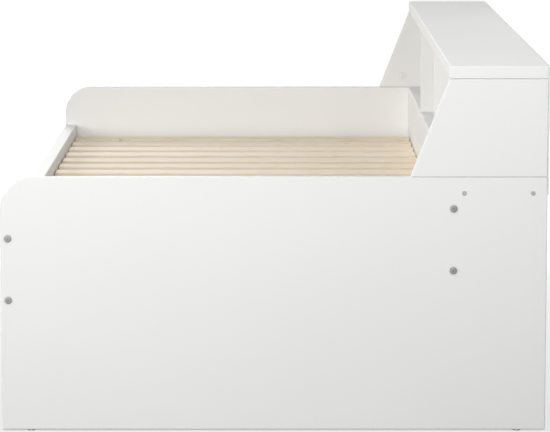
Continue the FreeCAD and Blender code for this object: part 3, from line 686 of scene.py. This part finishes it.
def pine(name, settings, early, late, along, pith, tone=1.0):
    """Planed pine: growth rings round a pith line beside the piece, pale early wood that
    darkens to amber late wood, a few knots that push the rings aside, and dull fibres."""
    made, tree, shader = finish(name, IOR=1.5)
    upright = {"X": (0, 0, 0), "Y": (0, 0, math.radians(90))}[along]
    wood = add(tree, "ShaderNodeMapping", {
        "Vector": shifted(tree, turn=upright),
        "Location": pith,
        "Rotation": (0, math.radians(1.2), math.radians(0.8)),
    }).outputs[0]
    push, heart = knots_in(tree, settings, wood)
    season = rings_in(tree, settings, wood, push)
    tones = [np.array(early), 0.55 * np.array(early) + 0.45 * np.array(late), np.array(late)]
    pale, middle, dark = ((*(tone * colour).tolist(), 1.0) for colour in tones)
    grain = add(tree, "ShaderNodeValToRGB", {"Fac": season}, stops=(
        (0.0, pale),
        (1.0, pale),
        (0.5, pale),
        (0.78, middle),
        (0.93, dark),
    ))
    stretched = add(tree, "ShaderNodeMapping", {"Vector": wood, "Scale": PINE_FIBRES})
    fibre = add(tree, "ShaderNodeTexNoise", {
        "Vector": stretched.outputs[0],
        "Scale": 1.0,
        "Detail": 3.0,
    })
    streaks = add(tree, "ShaderNodeMapRange", {
        "Value": fibre.outputs["Fac"],
        "From Min": 0.3,
        "From Max": 0.7,
        "To Max": STREAK_STRENGTH,
    })
    streaked = add(tree, "ShaderNodeMix", {
        "Factor": streaks.outputs[0],
        "A": grain.outputs["Color"],
        "B": four(late),
    }, data_type="RGBA")
    whole = add(tree, "ShaderNodeMix", {
        "Factor": heart,
        "A": streaked.outputs["Result"],
        "B": four(settings.knot),
    }, data_type="RGBA")
    tree.links.new(whole.outputs["Result"], shader.inputs["Base Color"])
    gloss = add(tree, "ShaderNodeMapRange", {
        "Value": season,
        "To Min": 0.62,
        "To Max": 0.5,
    })
    tree.links.new(gloss.outputs[0], shader.inputs["Roughness"])
    bump = add(tree, "ShaderNodeBump", {
        "Height": fibre.outputs["Fac"],
        "Strength": 0.5,
        "Distance": 0.08 * MM,
    })
    tree.links.new(bump.outputs[0], shader.inputs["Normal"])
    return made


def beech(settings):
    """Turned and pressed beech: even, pinkish brown, with short dark flecks along the grain."""
    made, tree, shader = finish("pressed_beech", IOR=1.5)
    flecks = add(tree, "ShaderNodeTexNoise", {
        "Vector": shifted(tree),
        "Scale": BEECH_FLECKS,
        "Detail": 3.0,
    })
    tone = add(tree, "ShaderNodeValToRGB", {"Fac": flecks.outputs["Fac"]}, stops=(
        (0.38, four(settings.dowel_fleck)),
        (0.52, four(settings.dowel)),
    ))
    tree.links.new(tone.outputs["Color"], shader.inputs["Base Color"])
    gloss = add(tree, "ShaderNodeMapRange", {
        "Value": flecks.outputs["Fac"],
        "To Min": 0.5,
        "To Max": 0.7,
    })
    tree.links.new(gloss.outputs[0], shader.inputs["Roughness"])
    return made


def metal(name, colour, low, high, grit, depth):
    """A metal skin whose gloss and height change with its grit: fine crystals where it is
    plated, a sandy skin where it is cast, and drawing marks where it is wire. The grit's width
    and depth are in millimetres."""
    made, tree, shader = finish(name, Metallic=1.0)
    grains = add(tree, "ShaderNodeTexNoise", {
        "Vector": shifted(tree),
        "Scale": 1 / (grit * MM),
        "Detail": 3.0,
    })
    tone = add(tree, "ShaderNodeValToRGB", {"Fac": grains.outputs["Fac"]}, stops=(
        (0.3, (*(0.86 * value for value in colour), 1)),
        (0.7, four(colour)),
    ))
    tree.links.new(tone.outputs["Color"], shader.inputs["Base Color"])
    gloss = add(tree, "ShaderNodeMapRange", {
        "Value": grains.outputs["Fac"],
        "From Min": 0.3,
        "From Max": 0.7,
        "To Min": low,
        "To Max": high,
    })
    tree.links.new(gloss.outputs[0], shader.inputs["Roughness"])
    bump = add(tree, "ShaderNodeBump", {
        "Height": grains.outputs["Fac"],
        "Strength": 0.5,
        "Distance": depth * MM,
    })
    tree.links.new(bump.outputs[0], shader.inputs["Normal"])
    return made


def moulded(name, colour, low, high, shading, reach):
    """Moulded plastic with a spark-eroded skin: a soft even gloss over a fine sandy grain, and
    painted shade in the slot and round the rim."""
    made, tree, shader = finish(name, IOR=1.49)
    tree.links.new(painted_corner_shade(tree, four(colour), shading, reach, 1.0), shader.inputs["Base Color"])
    grain = add(tree, "ShaderNodeTexNoise", {
        "Vector": shifted(tree),
        "Scale": MOULD_GRAIN,
        "Detail": 2.0,
    })
    gloss = add(tree, "ShaderNodeMapRange", {
        "Value": grain.outputs["Fac"],
        "To Min": low,
        "To Max": high,
    })
    tree.links.new(gloss.outputs[0], shader.inputs["Roughness"])
    bump = add(tree, "ShaderNodeBump", {
        "Height": grain.outputs["Fac"],
        "Strength": 0.4,
        "Distance": 0.02 * MM,
    })
    tree.links.new(bump.outputs[0], shader.inputs["Normal"])
    return made


def plated(name, colour, low=0.42, high=0.56, grit=0.8):
    """Zinc-plated steel of the given colour. All pieces that ask for its name share it."""
    made = bpy.data.materials.get(name)
    return made or metal(name, colour, low, high, grit, depth=0.02)


# ---- boards, slats and battens ------------------------------------------------------------


class BED_OT_white_boards(bpy.types.Operator):
    """Finish the ten white boards"""

    bl_idname = "bed.white_boards"
    bl_label = "White boards"

    def execute(self, context):
        for number, (node, across) in enumerate(WHITE_BOARDS.items()):
            start = (0.37 * number, 0.71 * number, 0.53 * number)
            dress(node, melamine(f"melamine_{node}", context.scene.bed_boards, across, start))
        return {"FINISHED"}


class BED_OT_back_panel(bpy.types.Operator):
    """Finish the thin panel behind the bookcase"""

    bl_idname = "bed.back_panel"
    bl_label = "Back panel"

    def execute(self, context):
        dress("back_panel", hardboard(context.scene.bed_boards))
        return {"FINISHED"}


class BED_OT_slats(bpy.types.Operator):
    """Finish the slats, each with its own cut of the tree"""

    bl_idname = "bed.slats"
    bl_label = "Slats"

    def execute(self, context):
        settings = context.scene.bed_pine
        for number, node in enumerate(SLATS):
            low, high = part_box(node)
            angle = number * GOLDEN_ANGLE
            pith = (
                0.61 * number,
                -(low.y + high.y) / 2 + 0.05 * math.cos(angle),
                -(low.z + high.z) / 2 + 0.035 + 0.03 * math.sin(angle),
            )
            tone = 0.99 + 0.03 * math.cos(2 * angle)
            name = f"planed_pine_{node}"
            dress(node, pine(name, settings, settings.early, settings.late, "X", pith, tone))
        return {"FINISHED"}


class BED_OT_battens(bpy.types.Operator):
    """Finish the cleats under the slats and the battens under the shelf"""

    bl_idname = "bed.battens"
    bl_label = "Battens"

    def execute(self, context):
        settings = context.scene.bed_pine
        early, late = settings.batten_early, settings.batten_late
        for number, node in enumerate(BATTENS):
            low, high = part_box(node)
            pith = (0.83 * number, (low.x + high.x) / 2 + 0.03, -(low.z + high.z) / 2 + 0.02)
            dress(node, pine(f"planed_pine_{node}", settings, early, late, "Y", pith))
        return {"FINISHED"}


# ---- fittings -----------------------------------------------------------------------------


def hex_socket_angles(sides):
    """Angles for a head with a hex socket, with its corners among them."""
    return angles_with([(i + 0.5) * TURN / 6 for i in range(6)], sides)


def bolt_shape(settings, length, width, sides=48):
    """Rail bolt: a wide flat head with a rounded rim and a hex socket, a plain shank, and a
    thread on its lower half. The face is at height 0 and the tip at minus the length."""
    angle = hex_socket_angles(sides)
    head, shank, root = width / 2, 3 * MM, 2.4 * MM
    head_height = 3 * MM
    socket = hexagon(angle, settings.socket)
    rim = rounded_rim(head, -0.1 * MM, 1.1 * MM, 1.0 * MM)
    under = [
        (head, 0.3 * MM - head_height),
        (head - 0.3 * MM, -head_height),
        (shank + 0.4 * MM, -head_height),
        (shank, -head_height - 0.4 * MM),
        (shank, -0.5 * length),
    ]
    rings = np.concatenate((
        recess_rings(socket, angle, settings.socket_depth, 0.0),
        plain_rings([(0.6 * head, -0.03 * MM), *zip(*rim), *under], angle),
        thread(-0.5 * length - 0.2 * MM, -length + 1.2 * MM, 1 * MM, shank, root, angle),
        plain_rings([(root, -length + 0.8 * MM), (0.7 * root, -length)], angle),
    ))
    return closed_shell(rings)


def panel_screw_shape(settings, length, width, sides=36):
    """Panel screw: a flush head with a hex socket on a cone, a plain shoulder, a coarse
    thread on a thin core, and a blunt point."""
    angle = hex_socket_angles(sides)
    head, shoulder, core = width / 2, 3.5 * MM, 2.3 * MM
    socket = hexagon(angle, settings.socket)
    rings = np.concatenate((
        recess_rings(socket, angle, settings.socket_depth, 0.0),
        plain_rings([
            (head - 0.25 * MM, 0),
            (head, -0.25 * MM),
            (head, -2.4 * MM),
            (shoulder, -4 * MM),
            (shoulder, -11 * MM),
            (core, -12 * MM),
        ], angle),
        thread(-12.4 * MM, -length + 4 * MM, 3 * MM, shoulder, core, angle, per_turn=10),
        plain_rings([(core, -length + 3.6 * MM), (0.5 * core, -length)], angle),
    ))
    return closed_shell(rings)


def wood_screw_shape(settings, length, width, sides=24):
    """Countersunk screw: a flush head with a tapering cross recess, a plain neck, a coarse
    thread and a sharp point."""
    arm = math.atan(settings.cross_width / settings.cross_reach)
    corners = [quarter * TURN / 4 + off for quarter in range(4) for off in (-arm, arm, TURN / 8)]
    angle = angles_with(corners, sides)
    head, neck, core = width / 2, 2 * MM, 1.35 * MM
    neck_end = -0.3 * length
    cross = cross_outline(angle, settings.cross_reach, settings.cross_width)
    rings = np.concatenate((
        recess_rings(cross, angle, settings.cross_depth, 0.0),
        plain_rings([
            (head - 0.15 * MM, 0),
            (head, -0.2 * MM),
            (neck, -2.5 * MM),
            (neck, neck_end),
            (core, neck_end - 0.6 * MM),
        ], angle),
        thread(neck_end - 0.8 * MM, -length + 2 * MM, 2.2 * MM, neck, core, angle, per_turn=7),
        plain_rings([(0.8 * core, -length + 1.8 * MM), (0.08 * MM, -length)], angle),
    ))
    return closed_shell(rings)


def nail_shape(length, width, sides=12):
    """Nail: a thin head, slightly domed to its middle, a wire shank and a cut point."""
    angle = angles_with([], sides)
    head, wire = width / 2, 0.9 * MM
    return closed_shell(plain_rings([
        (0.4 * head, 0),
        (0.85 * head, -0.08 * MM),
        (head, -0.3 * MM),
        (head, -0.7 * MM),
        (wire, -0.9 * MM),
        (wire, -length + 3 * MM),
        (0.1 * MM, -length),
    ], angle))


def cap_shape(settings, length, width, sides=56):
    """Cam cap: a low dome with a rounded rim and a slot across it. Its height falls from the
    middle with the square of the radius."""
    corner = math.atan2(settings.cap_slot, settings.cap_slot_width)
    angle = angles_with([corner, math.pi - corner, math.pi + corner, -corner], sides)
    disc = width / 2
    slot = slot_outline(angle, settings.cap_slot, settings.cap_slot_width)
    share = np.linspace(0.66, 0.9, 4)
    dome = [(part * disc, -0.2 * MM * part ** 2) for part in share]
    rim = rounded_rim(disc, -0.17 * MM, 0.8 * MM, 0.7 * MM)
    rings = np.concatenate((
        recess_rings(slot, angle, settings.cap_slot_depth, -0.02 * MM),
        plain_rings([*dome, *zip(*rim), (disc, -length), (0.5 * disc, -length)], angle),
    ))
    return closed_shell(rings)


def glide_shape(length, width, sides=40):
    """Floor glide: a round foot with a softly rounded rim, and a pin that grips with rings."""
    angle = angles_with([], sides)
    foot, pin, foot_height = width / 2, 1.25 * MM, 3 * MM
    rim = rounded_rim(foot, 0.0, 1.2 * MM, 1.2 * MM)
    barb = ((pin, 0.6 * MM), (0.75 * pin, 0.9 * MM), (pin, 3 * MM))
    barbs = [
        (radius, -foot_height - step * 3 * MM - drop)
        for step in range(4) for radius, drop in barb
    ]
    return closed_shell(plain_rings([
        (0.5 * foot, 0),
        *zip(*rim),
        (foot, -foot_height + 0.2 * MM),
        (foot - 0.2 * MM, -foot_height),
        (pin, -foot_height),
        *barbs,
        (0.4 * pin, -length),
    ], angle))


def dowel_shape(flutes, length, width):
    """Fluted dowel: the radius dips by a cosine of the angle times the number of flutes, and
    both ends are bevelled. A station is a height, a whole radius and a share of the dip."""
    angle = np.arange(4 * flutes) * TURN / (4 * flutes)
    radius = width / 2
    bevel = 1 * MM
    dip = 0.15 * MM * (1 - np.cos(flutes * angle))
    stations = [
        (0, radius - bevel, 0),
        (-0.4 * bevel, radius - 0.4 * bevel, 0.3),
        (-bevel, radius, 1),
        (-length / 2, radius, 1),
        (bevel - length, radius, 1),
        (0.4 * bevel - length, radius - 0.4 * bevel, 0.3),
        (-length, radius - bevel, 0),
    ]
    height, whole, fluted = (column(values) for values in zip(*stations))
    return closed_shell(polar(whole - fluted * dip, height, angle))


class BED_OT_dowels(bpy.types.Operator):
    """Make the fluted dowels in the boards' joints"""

    bl_idname = "bed.dowels"
    bl_label = "Dowels"

    def execute(self, context):
        made = beech(context.scene.bed_pine)
        for node in ("rail_dowels", "shelf_dowels", "bookcase_dowels"):
            seats = seats_of(node)
            shape = dowel_shape(context.scene.bed_fittings.flutes, *seats[0][2:])
            stand_in(placed(f"fluted_{node}", shape, seats), node, made)
        return {"FINISHED"}


class BED_OT_rail_bolts(bpy.types.Operator):
    """Make the bolts that hold both rails to the end panels"""

    bl_idname = "bed.rail_bolts"
    bl_label = "Rail bolts"

    def execute(self, context):
        settings = context.scene.bed_fittings
        seats = seats_of("rail_bolts")
        piece = placed("threaded_rail_bolts", bolt_shape(settings, *seats[0][2:]), seats)
        made = plated("zinc_plated_steel", settings.zinc)
        stand_in(piece, "rail_bolts", made)
        return {"FINISHED"}


class BED_OT_barrel_nuts(bpy.types.Operator):
    """Finish the barrel nuts in both rails and the cams' connecting bolts"""

    bl_idname = "bed.barrel_nuts"
    bl_label = "Barrel nuts and connecting bolts"

    def execute(self, context):
        made = plated("zinc_plated_steel", context.scene.bed_fittings.zinc)
        dress("barrel_nuts", made)
        dress("cam_bolts", made)
        return {"FINISHED"}


class BED_OT_panel_screws(bpy.types.Operator):
    """Make the panel screws of the shelf battens and dividers"""

    bl_idname = "bed.panel_screws"
    bl_label = "Panel screws"

    def execute(self, context):
        settings = context.scene.bed_fittings
        seats = seats_of("panel_screws")
        piece = placed("threaded_panel_screws", panel_screw_shape(settings, *seats[0][2:]), seats)
        made = plated("bright_zinc_plated_steel", settings.bright_zinc)
        stand_in(piece, "panel_screws", made)
        return {"FINISHED"}


class BED_OT_wood_screws(bpy.types.Operator):
    """Make the countersunk screws of the slats, cleats and battens"""

    bl_idname = "bed.wood_screws"
    bl_label = "Wood screws"

    def execute(self, context):
        settings = context.scene.bed_fittings
        made = plated("yellow_passivated_steel", settings.brass_zinc, 0.26, 0.4, grit=0.6)
        for node in ("slat_screws", "cleat_screws", "batten_screws"):
            seats = seats_of(node)
            piece = placed(f"threaded_{node}", wood_screw_shape(settings, *seats[0][2:]), seats)
            stand_in(piece, node, made)
        return {"FINISHED"}


class BED_OT_nails(bpy.types.Operator):
    """Make the nails that hold the back panel"""

    bl_idname = "bed.nails"
    bl_label = "Nails"

    def execute(self, context):
        wire = context.scene.bed_fittings.wire
        made = metal("bright_drawn_wire", wire, 0.25, 0.38, grit=0.5, depth=0.01)
        seats = seats_of("back_panel_nails")
        piece = placed("domed_back_panel_nails", nail_shape(*seats[0][2:]), seats)
        stand_in(piece, "back_panel_nails", made)
        return {"FINISHED"}


class BED_OT_cams(bpy.types.Operator):
    """Finish the cam discs and make the caps over them"""

    bl_idname = "bed.cams"
    bl_label = "Cams and caps"

    def execute(self, context):
        settings = context.scene.bed_fittings
        dress("cam_discs", metal("die_cast_zinc", settings.cast, 0.5, 0.65, grit=0.4, depth=0.04))
        # The caps take the boards' joint colour as painted shade in their slot and round their
        # rim.
        shading = context.scene.bed_boards.joint, settings.corner_shade_reach
        made = moulded("moulded_white_plastic", settings.cap, 0.38, 0.46, *shading)
        seats = seats_of("cam_caps")
        piece = placed("slotted_cam_caps", cap_shape(settings, *seats[0][2:]), seats, turned=False)
        stand_in(piece, "cam_caps", made)
        return {"FINISHED"}


class BED_OT_glides(bpy.types.Operator):
    """Make the glides under the end panels"""

    bl_idname = "bed.glides"
    bl_label = "Floor glides"

    def execute(self, context):
        settings = context.scene.bed_fittings
        # The glides take the boards' joint colour as painted shade round their rim.
        shading = context.scene.bed_boards.joint, settings.corner_shade_reach
        made = moulded("moulded_hard_plastic", settings.glide, 0.45, 0.6, *shading)
        seats = seats_of("floor_glides")
        piece = placed("rounded_floor_glides", glide_shape(*seats[0][2:]), seats)
        stand_in(piece, "floor_glides", made)
        return {"FINISHED"}


# ---- stage --------------------------------------------------------------------------------

# Place, point looked at, side in metres, and power in watts. The lamps behind the bed keep
# away from where the camera would see them mirrored in a board.
LAMPS = {
    "front_lamp": ((-0.8, -6.6, 1.6), (0.0, -1.0, 0.4), 1.6, 105),
    "low_front_left_lamp": ((-2.4, -5.0, 1.0), (-0.2, -1.0, 0.4), 1.2, 40),
    "high_left_lamp": ((-1.2, -2.2, 2.6), (-0.4, -1.0, 0.4), 0.8, 14),
    "near_left_lamp": ((-0.75, -2.7, 1.25), (-0.3, -1.0, 0.4), 0.6, 8.4),
    "near_right_lamp": ((0.9, -2.4, 1.7), (0.45, -1.0, 0.6), 0.6, 8.6),
    "left_lamp": ((-4.2, -0.3, 1.8), (0.0, 0.0, 0.4), 2.0, 84),
    "right_lamp": ((1.8, 0.2, 1.5), (0.5, -0.9, 0.77), 0.8, 12),
    "far_end_lamp": ((1.4, 4.6, 0.45), (0.0, 1.0, 0.3), 0.6, 30),
    "wall_side_lamp": ((4.4, 0.3, 0.9), (0.57, 0.0, 0.4), 2.0, 45),
    "back_lamp": ((-0.7, 3.6, 2.2), (0.0, 0.3, 0.4), 1.2, 29),
    "high_back_lamp": ((0.2, 3.0, 2.9), (0.1, 0.4, 0.4), 1.2, 6),
}


# The share of the floor's painted shadow that is left at a share of its reach, and the grey
# on which the lamps' light falls there.
FAINT_SHADE = 0.25
FAINT_FROM = 0.13
FLOOR_LIGHT = 0.3


def seen_directly(tree):
    """1 for the rays by which the camera, a mirror or clear glass sees a surface, else 0."""
    path = add(tree, "ShaderNodeLightPath").outputs
    mirrored = add(tree, "ShaderNodeMath", {
        0: path["Is Glossy Ray"],
        1: path["Is Transmission Ray"],
    }, operation="MAXIMUM")
    return add(tree, "ShaderNodeMath", {
        0: path["Is Camera Ray"],
        1: mirrored.outputs[0],
    }, operation="MAXIMUM").outputs[0]


def distance_from_bed(tree):
    """How far a point of the floor lies outside the bed's outline."""
    place = add(tree, "ShaderNodeTexCoord").outputs["Object"]
    aside = add(tree, "ShaderNodeVectorMath", {0: place}, operation="ABSOLUTE")
    past = add(tree, "ShaderNodeVectorMath", {
        0: aside.outputs[0],
        1: cad_box[1],
    }, operation="SUBTRACT")
    clear = add(tree, "ShaderNodeVectorMath", {
        0: past.outputs[0],
        1: (0, 0, 0),
    }, operation="MAXIMUM")
    apart = add(tree, "ShaderNodeVectorMath", {0: clear.outputs[0]}, operation="LENGTH")
    return apart.outputs["Value"]


def matt_floor(settings):
    """Matt painted floor. Seen directly it glows white, with a painted shadow that darkens the
    glow towards the bed, and the lamps add a little more, so that it is white where they reach
    it and keeps the bed's cast shadow. The bed itself is lit only by the plain floor colour."""
    made = bpy.data.materials.new("matt_painted_floor")
    made.use_nodes = True
    tree = made.node_tree
    tree.nodes.clear()
    reach = add(tree, "ShaderNodeMath", {
        0: distance_from_bed(tree),
        1: settings.shade_reach,
    }, operation="DIVIDE")
    # Painted shadow: the glow is darkest at the bed's outline and fades to white over the shade
    # reach.
    dark = 1 - settings.floor_shade
    pale = 1 - FAINT_SHADE * settings.floor_shade
    painted_shadow_glow = add(tree, "ShaderNodeValToRGB", {"Fac": reach.outputs[0]}, stops=(
        (0.0, (dark, dark, dark, 1)),
        (1.0, (1, 1, 1, 1)),
        (FAINT_FROM, (pale, pale, pale, 1)),
    ))
    white = add(tree, "ShaderNodeEmission", {"Color": painted_shadow_glow.outputs["Color"]})
    lit = add(tree, "ShaderNodeBsdfDiffuse", {"Color": four([FLOOR_LIGHT] * 3)})
    shown = add(tree, "ShaderNodeAddShader", {0: white.outputs[0], 1: lit.outputs[0]})
    plain = add(tree, "ShaderNodeBsdfDiffuse", {"Color": four(settings.floor)})
    mixed = add(tree, "ShaderNodeMixShader", {
        0: seen_directly(tree),
        1: plain.outputs[0],
        2: shown.outputs[0],
    })
    add(tree, "ShaderNodeOutputMaterial", {"Surface": mixed.outputs[0]})
    return made


def make_floor(settings):
    """A wide level floor, as an even grid of points."""
    half = settings.floor_span / 2
    side = np.linspace(-half, half, 9)
    x, y = np.meshgrid(side, side)
    points = np.stack((x, y, np.zeros_like(x)), axis=-1).reshape(-1, 3)
    here = np.arange(len(points)).reshape(x.shape)
    quads = np.stack((here[:-1, :-1], here[:-1, 1:], here[1:, 1:], here[1:, :-1]), axis=-1)
    mesh = bpy.data.meshes.new("studio_floor")
    mesh.from_pydata(points, [], quads.reshape(-1, 4).tolist())
    mesh.materials.append(matt_floor(settings))
    floor = bpy.data.objects.new("studio_floor", mesh)
    bpy.context.scene.collection.objects.link(floor)


def make_sky(settings):
    """Even light from all sides, which itself shows as white."""
    world = bpy.data.worlds.new("studio")
    world.use_nodes = True
    tree = world.node_tree
    tree.nodes.clear()
    even = add(tree, "ShaderNodeBackground", {"Color": (1, 1, 1, 1), "Strength": settings.sky})
    white = add(tree, "ShaderNodeBackground", {"Color": (1, 1, 1, 1), "Strength": 1.0})
    mixed = add(tree, "ShaderNodeMixShader", {
        0: seen_directly(tree),
        1: even.outputs[0],
        2: white.outputs[0],
    })
    add(tree, "ShaderNodeOutputWorld", {"Surface": mixed.outputs[0]})
    bpy.context.scene.world = world


def make_lamp(name, place, target, size, power, share):
    """A soft square lamp that looks at the target."""
    lamp = bpy.data.lights.new(name, "AREA")
    lamp.size = size
    lamp.energy = power * share
    holder = bpy.data.objects.new(name, lamp)
    holder.location = place
    holder.rotation_euler = (Vector(target) - Vector(place)).to_track_quat("-Z", "Y").to_euler()
    bpy.context.scene.collection.objects.link(holder)


def make_camera(settings):
    """The camera at the photograph's viewing angle."""
    camera = bpy.data.cameras.new("camera")
    camera.sensor_fit = "HORIZONTAL"
    camera.sensor_width = SENSOR_WIDTH
    camera.lens = settings.lens
    camera.shift_x = settings.shift
    camera.clip_end = 200
    holder = bpy.data.objects.new("camera", camera)
    holder.location = settings.camera
    holder.rotation_euler = (settings.tilt, 0, 0)
    bpy.context.scene.collection.objects.link(holder)
    bpy.context.scene.camera = holder


class BED_OT_stage(bpy.types.Operator):
    """Set up the floor, the light and the camera"""

    bl_idname = "bed.stage"
    bl_label = "Stage"

    def execute(self, context):
        settings = context.scene.bed_stage
        context.scene.view_settings.view_transform = "Standard"
        make_floor(settings)
        make_sky(settings)
        for name, lamp in LAMPS.items():
            make_lamp(name, *lamp, settings.lamps)
        make_camera(settings)
        return {"FINISHED"}


# ---- add-on -------------------------------------------------------------------------------

OPERATORS = (
    BED_OT_white_boards,
    BED_OT_back_panel,
    BED_OT_slats,
    BED_OT_battens,
    BED_OT_dowels,
    BED_OT_rail_bolts,
    BED_OT_barrel_nuts,
    BED_OT_panel_screws,
    BED_OT_wood_screws,
    BED_OT_nails,
    BED_OT_cams,
    BED_OT_glides,
    BED_OT_stage,
)


class BED_PT_sidebar(bpy.types.Panel):
    """Sizes, colours and pieces of the bed"""

    bl_idname = "BED_PT_sidebar"
    bl_label = "Bookcase bed"
    bl_space_type = "VIEW_3D"
    bl_region_type = "UI"
    bl_category = "Bookcase bed"

    def draw(self, context):
        for name, group in SETTINGS.items():
            box = self.layout.box()
            box.label(text=group.__doc__.rstrip("."))
            settings = getattr(context.scene, name)
            for setting in group.__annotations__:
                box.prop(settings, setting)
        for operator in OPERATORS:
            self.layout.operator(operator.bl_idname)


def register():
    for group in (*SETTINGS.values(), *OPERATORS, BED_PT_sidebar):
        bpy.utils.register_class(group)
    for name, group in SETTINGS.items():
        setattr(bpy.types.Scene, name, PointerProperty(type=group))


def unregister():
    for name in SETTINGS:
        delattr(bpy.types.Scene, name)
    for group in reversed((*SETTINGS.values(), *OPERATORS, BED_PT_sidebar)):
        bpy.utils.unregister_class(group)


def main():
    register()
    for operator in OPERATORS:
        name = operator.bl_idname.partition(".")[2]
        if getattr(bpy.ops.bed, name)() != {"FINISHED"}:
            raise RuntimeError(f"{operator.bl_label} didn't finish")


if __name__ == "__main__":
    main()
